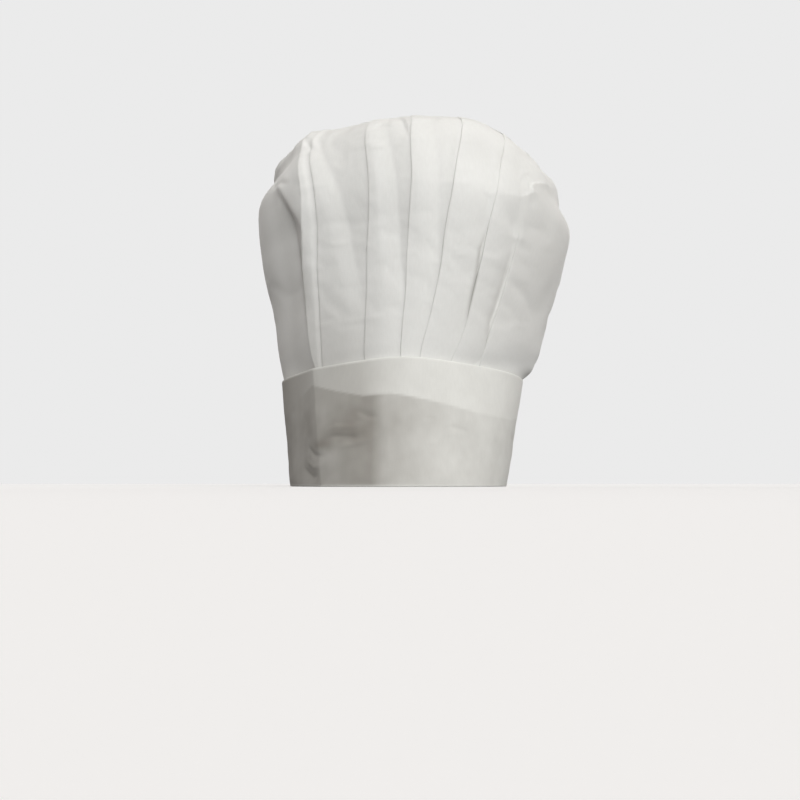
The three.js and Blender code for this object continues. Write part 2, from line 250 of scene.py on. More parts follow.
# Dark strips of painted shadow along folds and beside the notch, and light strips of painted
# highlight along the curl and one fold.
CROWN_PAINTED_LINES = (
    # shade, width on its left, width on its right, then its points as (azimuth, height)
    (0.12, 1.4, 1.4, (27.0, 186.5), (31.5, 187.7), (35.0, 188.2), (38.0, 191.0), (40.5, 194.5),
     (39.5, 198.0), (41.0, 201.5), (45.0, 206.0), (51.0, 212.5), (56.0, 215.5)),
    (-0.07, 0.8, 26.0, (27.0, 186.5), (31.5, 187.7), (38.0, 191.0), (40.5, 196.0), (42.0, 202.0),
     (51.0, 212.5), (62.0, 217.0)),
    (-0.12, 1.6, 3.0, (-64.0, 211.0), (-53.0, 208.0), (-44.0, 202.0)),
    (-0.18, 1.0, 15.0, (-66.0, 214.0), (-59.0, 206.0), (-52.5, 197.0), (-48.0, 184.0),
     (-47.0, 160.0)),
    (-0.35, 3.0, 1.0, (21.0, 103.0), (21.5, 113.0), (22.3, 137.0), (22.0, 152.0), (24.5, 170.0)),
    (-0.07, 5.0, 1.0, (27.0, 196.0), (29.0, 213.0), (31.5, 226.0)),
    (-0.07, 6.0, 1.0, (6.5, 95.0), (8.0, 133.0), (9.5, 158.0), (12.0, 203.0), (15.0, 236.0)),
    (-0.20, 5.0, 1.0, (34.0, 84.0), (32.0, 110.0), (34.5, 141.0), (36.0, 160.0)),
    (0.08, 1.0, 2.2, (34.5, 82.0), (32.5, 110.0), (35.0, 141.0), (36.5, 166.0)),
    (-0.05, 5.0, 0.8, (-17.0, 130.0), (-16.0, 180.0), (-16.5, 225.0)),
    (-0.05, 5.0, 0.8, (-3.0, 140.0), (-2.0, 190.0), (-1.5, 228.0)),
    (-0.20, 1.0, 14.0, (-45.0, 112.0), (-47.5, 146.0), (-47.5, 167.0), (-48.0, 180.0)),
)

# The crown's small wrinkles come from a simulation of plain cloth, a little too large for its
# folds, on a grid of its own. On the pressed pleats of the front they are shallow.
SIM_COLUMNS, SIM_ROW_STEP = 300, 2
SIM_SCALE = 8  # the solver works best on a piece of cloth a metre or more across
SIM_FRAMES = 24
SIM_GROWTH = 0.035  # how much too large the cloth is, as a share of its length
SIM_BUMPS, SIM_BUMPS_APART = 0.4, 22  # which give the wrinkles places to start
SIM_HELD_RUN = 3.0  # the cloth is held fast up to here
SIM_HOLD_AT_FOLDS, SIM_FOLD_REACH = 0.35, 2.0  # how firmly the folds hold it, and how far round
SIM_SMOOTHINGS = 60  # what is left of its shape after these is too broad to be a wrinkle
WRINKLE_MOST = 3.0  # how far a wrinkle may stand out or in
LOOSENESS = (
    # azimuth, the share of the small wrinkles that shows there
    (-180.0, 0.6), (-120.0, 0.5), (-95.0, 0.12), (-44.0, 0.12), (-40.0, 0.18), (20.0, 0.2),
    (36.0, 0.3), (48.0, 0.5), (80.0, 0.5), (120.0, 0.6), (180.0, 0.6),
)
LOOSENESS_ON_TOP, TOP_STARTS = 0.5, (222, 244)  # and the heights between which it takes over

# ---- The band's looks ----

# How far below the band's top edge the crown's margin ends, where it shows through.
MARGIN_EDGE = (
    # azimuth, drop
    (-180.0, 23.0), (-60.0, 22.0), (-42.0, 12.0), (-36.0, 15.0), (-28.0, 19.0), (-16.0, 24.0),
    (-4.0, 24.0), (9.0, 27.0), (22.0, 30.0), (36.0, 33.0), (63.0, 34.0), (90.0, 26.0),
    (180.0, 23.0),
)
MARGIN_BLUR = 0.9
# The painted shade of the single strip below it, which is thinner: darkest on the left side, which
# turns from the light, and in a painted shadow on the front left.
LOWER_PAINTED_SHADE = (
    # azimuth, shade
    (-180.0, 0.80), (-84.0, 0.38), (-60.0, 0.52), (-40.0, 0.54), (-28.0, 0.46), (-12.0, 0.38),
    (-7.0, 0.59), (4.0, 0.67), (16.0, 0.78), (40.0, 0.87), (60.0, 0.90), (90.0, 0.84),
    (180.0, 0.80),
)
# The painted shade of the band above it, darkest on the left side, which turns from the light.
UPPER_PAINTED_SHADE = (
    # azimuth, shade
    (-180.0, 0.88), (-84.0, 0.37), (-60.0, 0.51), (-42.0, 0.66), (-37.0, 0.73), (-26.0, 0.66),
    (-17.0, 0.67), (-8.0, 0.83), (4.0, 0.93), (30.0, 0.97), (60.0, 0.98), (90.0, 0.95),
    (180.0, 0.88),
)
# Painted highlights along the hems, where the cloth turns. Each fades out between two distances
# from its edge.
RIM_HEM, TOP_HEM, HEM_PAINTED_HIGHLIGHT = (1.2, 2.2), (0.8, 1.6), 0.6
BAND_RADIUS = 93  # about
# Soft spots of painted shade and painted light on the single strip.
BAND_PAINTED_SPOTS = (
    # azimuth, height, reach round in mm, reach up in mm, shade
    (-26.0, 38.0, 22.0, 8.0, -0.12),
    (-47.0, 14.0, 10.0, 12.0, -0.10),
    (-33.0, 22.0, 9.0, 5.0, 0.08),
    (-20.0, 50.0, 16.0, 6.0, -0.05),
    (72.0, 36.0, 8.0, 6.0, -0.10),
    (20.0, 20.0, 30.0, 10.0, 0.03),
    (-37.0, 29.0, 11.0, 4.5, -0.20),
    (-46.0, 42.0, 8.0, 10.0, -0.10),
    (5.0, 42.0, 16.0, 8.0, -0.06),
)
BAND_CLOUDS = (
    # tone, distance apart, seed
    (0.018, 24, 31),
    (0.015, 9, 32),
)
BAND_BUMPS = (
    # height, distance apart, seed
    (0.35, 45, 21),
    (0.08, 11, 22),
)
BAND_CALM_AT_RIM, BAND_CALM_AT_TOP = 6, 26  # how far its bumps and creases take to rise there
BAND_COLUMNS, BAND_ROWS_OUTSIDE, BAND_ROWS_INSIDE = 432, 62, 30
# The band's wrinkles.
BAND_CREASES = (
    # outwards, width on its left, width on its right, then its points as (azimuth, height)
    (0.9, 2.5, 6.0, (-36.0, 37.0), (-29.0, 41.0), (-22.0, 40.0), (-14.0, 42.0)),
    (-1.1, 2.0, 6.0, (-38.0, 31.0), (-30.0, 35.0), (-20.0, 33.0), (-14.0, 36.0)),
    (0.8, 3.0, 3.0, (-30.0, 26.0), (-22.0, 28.0), (-14.0, 30.0), (-6.0, 37.0)),
    (-0.8, 5.0, 2.0, (-20.0, 51.0), (-14.0, 46.0), (-8.0, 44.0)),
    (-0.9, 3.0, 6.0, (-50.0, 30.0), (-42.0, 22.0), (-33.0, 21.0)),
    (0.8, 2.5, 4.0, (-52.0, 20.0), (-44.0, 14.0), (-36.0, 15.0)),
    (-0.9, 3.0, 6.0, (-56.0, 14.0), (-46.0, 7.0), (-38.0, 8.0)),
    (0.5, 6.0, 6.0, (-8.0, 48.0), (-5.0, 30.0), (-7.0, 8.0)),
    (-0.4, 1.5, 2.0, (9.0, 43.0), (12.0, 45.0), (16.0, 44.0)),
    (-0.5, 1.5, 2.5, (18.0, 38.0), (23.0, 40.0), (28.0, 39.0), (33.0, 36.0)),
    (0.4, 1.5, 1.5, (19.0, 34.0), (24.0, 36.0), (29.0, 34.0)),
    (-0.4, 1.5, 2.0, (11.0, 26.0), (17.0, 27.0)),
    (-1.0, 4.0, 5.0, (62.0, 46.0), (70.0, 38.0), (82.0, 33.0)),
    (-0.6, 3.0, 4.0, (120.0, 40.0), (132.0, 33.0), (140.0, 22.0)),
    (0.6, 3.0, 5.0, (150.0, 30.0), (164.0, 36.0), (176.0, 31.0)),
    (-0.7, 3.0, 6.0, (200.0, 50.0), (212.0, 40.0), (222.0, 42.0)),
    (-0.6, 4.0, 4.0, (236.0, 30.0), (247.0, 24.0), (262.0, 30.0)),
)


# ---- Helpers ----

def smooth(knots, values, at):
    """A smooth curve through the rows of values, which stand at rising knots."""
    knots, values = np.asarray(knots, float), np.asarray(values, float)
    gaps = np.diff(knots)[:, None]
    slopes = np.diff(values, axis=0) / gaps
    turns = (slopes[:-1] * gaps[1:] + slopes[1:] * gaps[:-1]) / (gaps[1:] + gaps[:-1])
    tangents = np.vstack([slopes[:1], turns, slopes[-1:]])
    row = np.clip(np.searchsorted(knots, at, side="right") - 1, 0, len(gaps) - 1)
    gap = gaps[row]
    t = (np.clip(at, knots[0], knots[-1]) - knots[row])[:, None] / gap
    start = (1 + 2 * t) * (1 - t) ** 2 * values[row] + t * (1 - t) ** 2 * gap * tangents[row]
    end = t * t * (3 - 2 * t) * values[row + 1] + t * t * (t - 1) * gap * tangents[row + 1]
    return start + end


def turn_between(azimuth, other):
    """The angle from other to azimuth, in radians, from -pi to pi."""
    return (azimuth - other + np.pi) % (2 * np.pi) - np.pi


def fade(x, start, end):
    """0 at start and 1 at end, smoothly; start may be above end."""
    t = np.clip((x - start) / (end - start), 0, 1)
    return t * t * (3 - 2 * t)


def waves(points, length, seed, count=14):
    """A smooth random field of about -1 to 1, in which bumps are about length mm apart."""
    rng = np.random.default_rng(seed)
    total = 0
    for _ in range(count):
        way = rng.normal(size=3)
        way *= 2 * np.pi / length * rng.uniform(0.7, 1.3) / np.linalg.norm(way)
        total = total + np.sin(points @ way + rng.uniform(0, 2 * np.pi))
    return total / math.sqrt(count) * 0.9


def fold_azimuth(pleat, height):
    """The azimuth of a pleat's fold at heights, in radians."""
    degrees = smooth(FOLD_HEIGHTS, np.array(PLEATS[pleat][0])[:, None], height)[:, 0]
    return np.radians(degrees + RIM_TWIST * np.maximum(0, 1 - height / BAND_HEIGHT))


def storage_inset(azimuth, height):
    """How far the cloth lies inside the oval beside the two storage folds; a height a row."""
    inset = np.zeros(azimuth.shape)
    heights, before, after = np.array(STORAGE_SLOPES).T
    before = np.interp(height, heights, before)[:, None]
    after = np.interp(height, heights, after)[:, None]
    for pleat in STORAGE_PLEATS:
        away = turn_between(azimuth, fold_azimuth(pleat, height)[:, None])
        slope = np.where(away < 0, before, after)
        inset += slope * np.abs(away) * np.exp(-((away / STORAGE_REACH) ** 2))
    return inset


def on_oval(section, azimuth, level):
    """Points at a level on a grid, where section holds a column of values for each row."""
    sideways = np.sin(azimuth) ** 2
    sides = (1 + SIDE_DROP_ONSET) * sideways / (sideways + SIDE_DROP_ONSET)
    front = ((1 + np.cos(azimuth)) / 2) ** 2
    away = np.abs(turn_between(azimuth, math.radians(CORNER_AZIMUTH)))
    corner = fade(away, CORNER_REACH, CORNER_FLAT)
    x = BAND_CENTRE_X + section["lean"] + (section["half_width"] + level) * np.sin(azimuth)
    y = -(section["half_depth"] + level) * np.cos(azimuth)
    drop = section["sides"] * sides + section["front"] * front + section["corner"] * corner
    z = section["height"] - drop
    return np.stack(np.broadcast_arrays(x, y, z), axis=-1)


def press(level, azimuth, run, radius, height, left, right, points):
    """Adds a crease to a grid of levels, or a line to a grid of tones. Its points are pairs of an
    azimuth and a run, it rises to height at their line, and left and right are its widths."""
    azimuths, runs = np.radians([p[0] for p in points]), np.array([p[1] for p in points])
    middle = (runs.min() + runs.max()) / 2
    reach = (runs.max() - runs.min()) / 2 + max(left, right)
    rows = np.flatnonzero(np.abs(run - middle) < reach)
    if len(rows) == 0:
        return
    rows = slice(rows[0], rows[-1] + 1)
    scale = float(np.interp(middle, run, radius))
    line = np.stack([(azimuths - azimuths[0]) * scale, runs], axis=1)
    x = turn_between(azimuth[rows], azimuths[0]) * radius[rows, None]
    y = np.broadcast_to(run[rows, None], x.shape)
    lengths = np.linalg.norm(np.diff(line, axis=0), axis=1)
    starts = np.concatenate([[0], np.cumsum(lengths)])
    nearest = np.full(x.shape, np.inf)
    along, side = np.zeros(x.shape), np.zeros(x.shape)
    for (x0, y0), (x1, y1), length, start in zip(line, line[1:], lengths, starts):
        ex, ey = (x1 - x0) / length, (y1 - y0) / length
        t = np.clip((x - x0) * ex + (y - y0) * ey, 0, length)
        distance = np.hypot(x - x0 - t * ex, y - y0 - t * ey)
        closer = distance < nearest
        nearest = np.where(closer, distance, nearest)
        along = np.where(closer, start + t, along)
        side = np.where(closer, (y - y0) * ex - (x - x0) * ey, side)
    total = starts[-1]
    taper = fade(along, 0, CREASE_TAPER * total) * fade(total - along, 0, CREASE_TAPER * total)
    edge = np.clip(1 - nearest / np.where(side > 0, left, right), 0, 1)
    level[rows] += height * taper * edge ** CREASE_SHARPNESS


def build_mesh(name, points, polygons, tone):
    """One mesh with smooth faces, whose points carry the cloth's tone for its material."""
    mesh = bpy.data.meshes.new(name)
    mesh.from_pydata((points * MM).tolist(), [], polygons)
    mesh.polygons.foreach_set("use_smooth", [True] * len(mesh.polygons))
    mesh.attributes.new("tone", "FLOAT", "POINT").data.foreach_set("value", tone.ravel())
    mesh.update()
    piece = bpy.data.objects.new(name, mesh)
    bpy.context.scene.collection.objects.link(piece)
    return piece


def quads(index):
    """Faces between the rows of a grid of point numbers that closes on itself sideways."""
    right = np.roll(index, -1, axis=1)
    return np.stack([index[:-1], right[:-1], right[1:], index[1:]], axis=-1).reshape(-1, 4)


def painted_spots(azimuth, up, radius, spots):
    """Soft spots of painted shade and painted light on the cloth, at distances up its surface."""
    total = 0
    for direction, height, round_it, reach_up, shade in spots:
        away = turn_between(azimuth, math.radians(direction)) * radius / round_it
        over = (up - height) / reach_up
        total = total + shade * np.exp(-(away ** 2) - over ** 2)
    return total


# ---- Crown ----

def crown_section_table():
    """The crown's sections, from its raw edge inside the band upwards."""
    foot, top = (np.array(edge) for edge in BAND_EDGES)
    inset = np.array([0, SEAT_INSET, SEAT_INSET, 0, 0, 0, 0])
    lowest = foot + (top - foot) * MARGIN_LOWEST / BAND_HEIGHT
    return np.vstack([lowest - inset, top - inset, CROWN_SECTIONS])


def crown_rows():
    """The crown's rows: a column of values for each name in SECTION_COLUMNS, with run, the
    distance up the profile from the band's top edge, and the mean radius."""
    sections = crown_section_table()
    chords = np.hypot(np.diff(sections[:, 0]), np.diff(sections[:, 1:3].mean(axis=1)))
    knots = np.concatenate([[0], np.cumsum(chords)])
    fine = np.linspace(0, knots[-1], PROFILE_STEPS)
    profile = smooth(knots, sections, fine)
    steps = np.hypot(np.diff(profile[:, 0]), np.diff(profile[:, 1:3].mean(axis=1)))
    run = np.concatenate([[0], np.cumsum(steps)])
    run -= np.interp(knots[1], fine, run)
    places, distances = np.array(ROW_SPACING).T
    places = [run[0], *places, run[-1]]
    spacing = np.interp(run, places, [SPACING_IN_BAND, *distances, SPACING_AT_CENTRE])
    counted = np.concatenate([[0], np.cumsum(steps / spacing[1:])])
    evenly = np.linspace(0, counted[-1], int(round(counted[-1])) + 1)
    at = np.interp(evenly, counted, fine)
    table = smooth(knots, sections, at)
    rows = {name: table[:, k] for k, name in enumerate(SECTION_COLUMNS)}
    rows["run"] = np.interp(evenly, counted, run)
    rows["radius"] = table[:, 1:3].mean(axis=1)
    over = at > knots[SHOULDER_SECTION]
    rows["fold_height"] = np.where(over, FOLD_HEIGHTS[-1], table[:, 0])
    return rows


def section_at(rows, kept=slice(None)):
    """The sections of the rows that are kept, as columns for a grid."""
    return {name: rows[name][kept][:, None] for name in SECTION_COLUMNS}


def run_of_height(rows, height):
    """The run at a height on the wall and the shoulder."""
    top = int(np.argmax(rows["height"]))
    return float(np.interp(height, rows["height"][:top], rows["run"][:top]))


def pleat_rows(rows):
    """For each pleat, what its cross-section needs at every row."""
    height, run, radius = rows["fold_height"], rows["run"], rows["radius"]
    rng = np.random.default_rng(seed=11)
    kept = LAP_AT_CENTRE + (1 - LAP_AT_CENTRE) * fade(radius, *LAP_SHRINKS)
    folds = []
    for pleat, (_, firm, _, _) in enumerate(PLEATS):
        phases = rng.uniform(0, 2 * np.pi, len(WANDERS))
        wander = sum(far * np.sin(run / long + p) for (far, long), p in zip(WANDERS, phases))
        wander *= fade(run, *WANDERS_FROM) / np.maximum(radius, 20)
        over_top = fade(radius, *FIRM_ON_TOP) * (run > run[-1] / 2)
        firmness = np.maximum(np.interp(height, FIRM_HEIGHTS, firm), over_top)
        folds.append({
            "azimuth": fold_azimuth(pleat, height) + wander,
            "lap": LEAST_LAP + (LAP - LEAST_LAP) * firmness * kept,
        })
    for pleat, fold in enumerate(folds):
        after = folds[(pleat + 1) % len(folds)]
        end = after["azimuth"] + (2 * np.pi if pleat == len(folds) - 1 else 0)
        fold["pitch"] = (end - fold["azimuth"]) * radius
        fold["next_lap"] = after["lap"]
    under = np.interp(run, (0, run_of_height(rows, WIDEST_HEIGHT), run[-1]), UNDERLAP)
    for pleat, fold in enumerate(folds):
        after = folds[(pleat + 1) % len(folds)]
        fold["under"] = np.minimum(under, UNDERLAP_MOST * after["pitch"])
        apex, share, depth, near = PLEATS[pleat][2]
        across = np.interp(height, (apex, FOLD_HEIGHTS[-1]), (1.0, share))
        fold["valley"] = np.clip(across, *VALLEY_PLACES) * fold["pitch"]
        start, end = (apex + above for above in VALLEY_DEEPENS)
        fold["depth"] = depth * fade(height, start, end) * fade(radius, *VALLEY_OPENS)
        fold["near"] = np.minimum(near, VALLEY_SIDE_MOST * fold["valley"])
    return folds


def panel_level(fold, s):
    """The level of a pleat's panel at s mm from its fold."""
    before = (s - fold["valley"] + fold["near"]) / fold["near"]
    beyond = (fold["pitch"] - s) / (fold["pitch"] - fold["valley"])
    tent = np.clip(np.minimum(before, beyond), 0, 1)
    return -fold["next_lap"] * fade(before, 0, 1) - fold["depth"] * tent


def pleat_columns(folds, pleat, radius):
    """One pleat's columns: azimuths, levels and tones, each with a value a row. The cloth turns
    round the fold, crosses the panel, runs on under the next fold, turns, and comes back."""
    fold, after = folds[pleat], folds[(pleat + 1) % len(folds)]
    columns = []
    edge = [fold["valley"] + beyond for beyond in WEDGE_EDGE]
    r = (fold["lap"] - FOLD_GAP) / 2
    for angle in np.radians((270, 225, 180, 135)):
        columns.append((r + r * math.cos(angle), -r + r * math.sin(angle), 1.0))
    for t in np.linspace(0, 1, PLEATS[pleat][3]):
        s = r + t * (fold["pitch"] - r)
        # The cloth between a valley and the next fold gets a faint painted shade.
        wedge = fade(s, *edge) * fade(fold["depth"], 0, WEDGE_DEPTH)
        columns.append((s, panel_level(fold, s), 1 + (WEDGE_PAINTED_SHADE - 1) * wedge))
    for shares, rise in ((UNDERLAP_STEPS, 0), (UNDERLAP_STEPS[::-1], UNDERLAP_RISE)):
        for share in shares:
            beneath = share * fold["under"]
            level = panel_level(after, beneath) - after["lap"] + rise
            columns.append((fold["pitch"] + beneath, level, 1.0))
    azimuths = np.stack([fold["azimuth"] + s / radius for s, _, _ in columns], axis=1)
    levels = np.stack([np.broadcast_to(d, radius.shape) for _, d, _ in columns], axis=1)
    tones = np.stack([np.broadcast_to(t, radius.shape) for _, _, t in columns], axis=1)
    return azimuths, levels, tones


def folded_corners(rows, azimuth, kept=slice(None)):
    """The levels that the storage folds give the rows that are kept, less and less over the top."""
    inward = np.minimum(1, rows["half_width"][kept] / BAND_EDGES[1][1]) ** 2
    return -inward[:, None] * storage_inset(azimuth, rows["height"][kept])


def crown_shape(rows, azimuth):
    """The levels that all layers of the crown share: folded corners, dents and creases."""
    run, radius = rows["run"], rows["radius"]
    level = folded_corners(rows, azimuth)
    for direction, height, depth, round_it, up in DENTS:
        away = turn_between(azimuth, math.radians(direction)) / math.radians(round_it)
        above = (run - run_of_height(rows, height)) / up
        level -= depth * np.exp(-(away ** 2) - above[:, None] ** 2)
    press_lines(level, azimuth, rows, CREASES)
    small = np.zeros(azimuth.shape)
    for crinkle in crinkles(run, radius, seed=5):
        press(small, azimuth, run, radius, *crinkle)
    small += wrinkles(rows, azimuth)
    base = on_oval(section_at(rows), azimuth, 0)
    shared = BROAD_BUMPS * waves(base, BROAD_BUMPS_APART, seed=1)
    shared += gathers(azimuth, radius[:, None])
    loose = looseness(azimuth, rows["height"][:, None])
    shared += small * loose * fade(run, *SMALL_RISE)[:, None]
    return level + shared * fade(run, *BUMPS_RISE)[:, None]


def press_lines(level, azimuth, rows, lines):
    """Presses a table of lines, with their points in heights, into a grid of levels or tones."""
    for value, left, right, *points in lines:
        line = [(direction, run_of_height(rows, up)) for direction, up in points]
        press(level, azimuth, rows["run"], rows["radius"], value, left, right, line)


def looseness(azimuth, height):
    """The share of the small wrinkles that shows: little on the pressed pleats of the front."""
    share = np.interp(np.degrees(turn_between(azimuth, 0.0)), *np.array(LOOSENESS).T)
    return share + (LOOSENESS_ON_TOP - share) * fade(height, *TOP_STARTS)


def wrinkles(rows, azimuth):
    """The small wrinkles of simulated cloth: how far it stands off the plain skin in them, at the
    crown's own rows and azimuths."""
    kept = np.flatnonzero(rows["run"] >= -2)[::SIM_ROW_STEP]
    run = rows["run"][kept]
    turns = np.linspace(-np.pi, np.pi, SIM_COLUMNS, endpoint=False)
    around = np.broadcast_to(turns, (len(kept), SIM_COLUMNS))
    section = section_at(rows, kept)
    bumps = SIM_BUMPS * waves(on_oval(section, around, 0), SIM_BUMPS_APART, seed=8)
    grid = on_oval(section, around, folded_corners(rows, around, kept) + bumps)
    stand = off_skin(grid, settle_cloth(grid, held_cloth(rows, kept, around)))
    fine = np.clip(stand - broad_shape(stand), -WRINKLE_MOST, WRINKLE_MOST)
    row = np.interp(rows["run"], run, np.arange(len(run)))[:, None]
    column = (azimuth + np.pi) % (2 * np.pi) / (2 * np.pi) * SIM_COLUMNS
    return grid_value(fine, row, column)


def held_cloth(rows, kept, around):
    """How firmly the simulated cloth is held: at the band, at the centre and along the folds."""
    held = np.where(rows["run"][kept] < SIM_HELD_RUN, 1.0, 0.0)[:, None] * np.ones(around.shape)
    held[-2:] = 1
    for pleat in range(len(PLEATS)):
        fold = fold_azimuth(pleat, rows["fold_height"][kept])[:, None]
        away = np.abs(turn_between(around, fold)) * rows["radius"][kept][:, None]
        held = np.maximum(held, SIM_HOLD_AT_FOLDS * (away < SIM_FOLD_REACH))
    return held


def off_skin(grid, settled):
    """How far the settled cloth lies outside the grid that it started from."""
    across = np.roll(grid, -1, axis=1) - np.roll(grid, 1, axis=1)
    outward = np.cross(across, np.gradient(grid, axis=0))
    outward /= np.maximum(np.linalg.norm(outward, axis=-1, keepdims=True), 1e-9)
    return ((settled - grid) * outward).sum(axis=-1)


def broad_shape(grid):
    """A grid of values without its small bumps."""
    for _ in range(SIM_SMOOTHINGS):
        padded = np.vstack([grid[:1], grid, grid[-1:]])
        sideways = np.roll(grid, 1, axis=1) + np.roll(grid, -1, axis=1)
        grid = (2 * grid + padded[:-2] + padded[2:] + sideways) / 6
    return grid


def grid_value(grid, row, column):
    """A grid's values between its rows and between its columns, the last of which is next to the
    first."""
    below, left = np.minimum(row.astype(int), len(grid) - 2), column.astype(int)
    up, along = row - below, column - left
    left, right = left % SIM_COLUMNS, (left + 1) % SIM_COLUMNS
    low = grid[below, left] * (1 - along) + grid[below, right] * along
    high = grid[below + 1, left] * (1 - along) + grid[below + 1, right] * along
    return low * (1 - up) + high * up


def settle_cloth(grid, held):
    """Runs Blender's cloth on a grid that closes on itself sideways, and returns it settled."""
    index = np.arange(held.size).reshape(held.shape)
    mesh = bpy.data.meshes.new("loose_cloth")
    points = grid.reshape(-1, 3) * MM * SIM_SCALE
    mesh.from_pydata(points.tolist(), [], quads(index).tolist())
    cloth = bpy.data.objects.new("loose_cloth", mesh)
    bpy.context.scene.collection.objects.link(cloth)
    group = cloth.vertex_groups.new(name="held")
    for weight in np.unique(held[held > 0]):
        group.add(np.flatnonzero(held.ravel() == weight).tolist(), float(weight), "REPLACE")
    modifier = cloth.modifiers.new("cloth", "CLOTH")
    settings = modifier.settings
    settings.quality = 6
    settings.mass = 0.15
    settings.tension_stiffness = settings.compression_stiffness = 15
    settings.shear_stiffness = 5
    settings.bending_stiffness = 0.05
    settings.vertex_group_mass = "held"
    settings.shrink_min = settings.shrink_max = -SIM_GROWTH
    settings.use_pressure = True
    settings.uniform_pressure_force = 0.3
    settings.effector_weights.gravity = 0.05
    modifier.collision_settings.use_collision = False
    modifier.point_cache.frame_end = SIM_FRAMES
    for step in range(1, SIM_FRAMES + 1):
        bpy.context.scene.frame_set(step)
    settled = cloth.evaluated_get(bpy.context.evaluated_depsgraph_get())
    points = np.empty(held.size * 3)
    settled.data.vertices.foreach_get("co", points)
    bpy.data.objects.remove(cloth)
    bpy.context.scene.frame_set(1)
    return points.reshape(grid.shape) / SIM_SCALE / MM


def crinkles(run, radius, seed):
    """Small random creases all over, more of them near the shoulder."""
    rng = np.random.default_rng(seed)
    found = []
    bottom, top = CRINKLE_ENDS[0], run[-1] - CRINKLE_ENDS[1]
    for _ in range(CRINKLE_COUNT):
        anywhere = rng.random() < CRINKLES_ANYWHERE
        at = rng.uniform(bottom, top) if anywhere else rng.normal(*CRINKLE_BELT)
        at = min(max(at, bottom), top)
        azimuth, slant = rng.uniform(-180, 180), rng.normal(0, 0.5)
        half = rng.uniform(*CRINKLE_HALVES)
        turn = math.degrees(half * math.cos(slant) / np.interp(at, run, radius))
        climb = half * math.sin(slant)
        height = rng.uniform(*CRINKLE_HEIGHTS) * rng.choice((-1, 1))
        left, right = rng.uniform(*CRINKLE_WIDTHS, 2)
        bend = rng.normal(0, 0.2) * half
        line = ((azimuth - turn, at - climb), (azimuth, at + bend), (azimuth + turn, at + climb))
        found.append((height, left, right, line))
    return found


def gathers(azimuth, radius):
    """Fine radial puckers where the cloth is drawn together on top."""
    ripple = 0
    for count, phase in PUCKERS:
        ripple = ripple + np.sin(count * azimuth + phase + radius / PUCKER_SWAY)
    return PUCKER_HEIGHT * ripple * fade(radius, *PUCKERS_RISE) * fade(radius, *PUCKERS_END)


def make_crown():
    """The crown: its pleats side by side, each row of points all round, and a centre on top."""
    rows = crown_rows()
    radius = rows["radius"]
    folds = pleat_rows(rows)
    parts = [pleat_columns(folds, pleat, radius) for pleat in range(len(PLEATS))]
    azimuth, level, wedge = (np.concatenate(part, axis=1) for part in zip(*parts))
    level = level + crown_shape(rows, azimuth)
    grid = on_oval(section_at(rows), azimuth, level)
    count = azimuth.size
    index = np.arange(count).reshape(azimuth.shape)
    polygons = quads(index).tolist()
    last = index[-1].tolist()
    polygons += [[a, b, count] for a, b in zip(last, last[1:] + last[:1])]
    points = np.vstack([grid.reshape(-1, 3), grid[-1].mean(axis=0)])
    # The crown's painted shade and light: soft spots, then strips along the folds.
    spots = [(a, run_of_height(rows, up), *rest) for a, up, *rest in CROWN_PAINTED_SPOTS]
    tone = wedge + painted_spots(azimuth, rows["run"][:, None], radius[:, None], spots)
    # Strips of painted shadow and painted highlight along the folds, the notch and the curl.
    press_lines(tone, azimuth, rows, CROWN_PAINTED_LINES)
    tone = np.append(np.minimum(tone, LIGHTEST_TONE).ravel(), 1.0)
    return build_mesh("crown_cloth", points, polygons, tone)


# ---- Band ----

def band_profile():
    """The band's cross-section as (height, inset) pairs. The strip is folded double at the rim,
    and its two edges turn in and meet along the top."""
    r = BAND_CLOTH / 2
    outside = [(h, 0.0) for h in np.linspace(BAND_HEIGHT - r, r, BAND_ROWS_OUTSIDE)]
    inside = [(h, BAND_CLOTH) for h in np.linspace(r, BAND_HEIGHT - r, BAND_ROWS_INSIDE)]
    rim = [(r - r * math.sin(a), r - r * math.cos(a)) for a in np.radians((36, 72, 108, 144))]
    turned = [(r * math.sin(a), r * math.cos(a)) for a in np.radians((86, 58, 29))]
    outer_edge = [(BAND_HEIGHT - r + up, r - out) for up, out in turned]
    inner_edge = [(BAND_HEIGHT - r + up, r + out) for up, out in reversed(turned)]
    return np.array(outer_edge + outside + rim + inside + inner_edge)


def band_tone(azimuth, heights, points):
    """How light the band's cloth is, with its painted shade and highlights: lightest where the
    crown's margin lies behind it.
    """
    degrees = np.degrees(turn_between(azimuth, 0.0))
    edge = BAND_HEIGHT - np.interp(degrees, *np.array(MARGIN_EDGE).T)
    above = fade(heights[:, None], edge - MARGIN_BLUR, edge + MARGIN_BLUR)
    # Painted shade, darker on the single strip below the margin's edge than above it.
    lower, upper = (np.interp(degrees, *np.array(t).T) for t in (LOWER_PAINTED_SHADE, UPPER_PAINTED_SHADE))
    # Soft spots of painted shade and painted light on the single strip.
    lower = lower + painted_spots(azimuth, heights[:, None], BAND_RADIUS, BAND_PAINTED_SPOTS)
    for strength, apart, seed in BAND_CLOUDS:
        lower = lower + strength * waves(points, apart, seed)
    tone = lower + (upper - lower) * above
    # Painted highlights along the rim and along the top edge.
    hem = fade(heights, *RIM_HEM[::-1])
    hem = hem + fade(heights, BAND_HEIGHT - TOP_HEM[1], BAND_HEIGHT - TOP_HEM[0])
    return tone + (1.0 - tone) * np.clip(hem, 0, 1)[:, None] * HEM_PAINTED_HIGHLIGHT


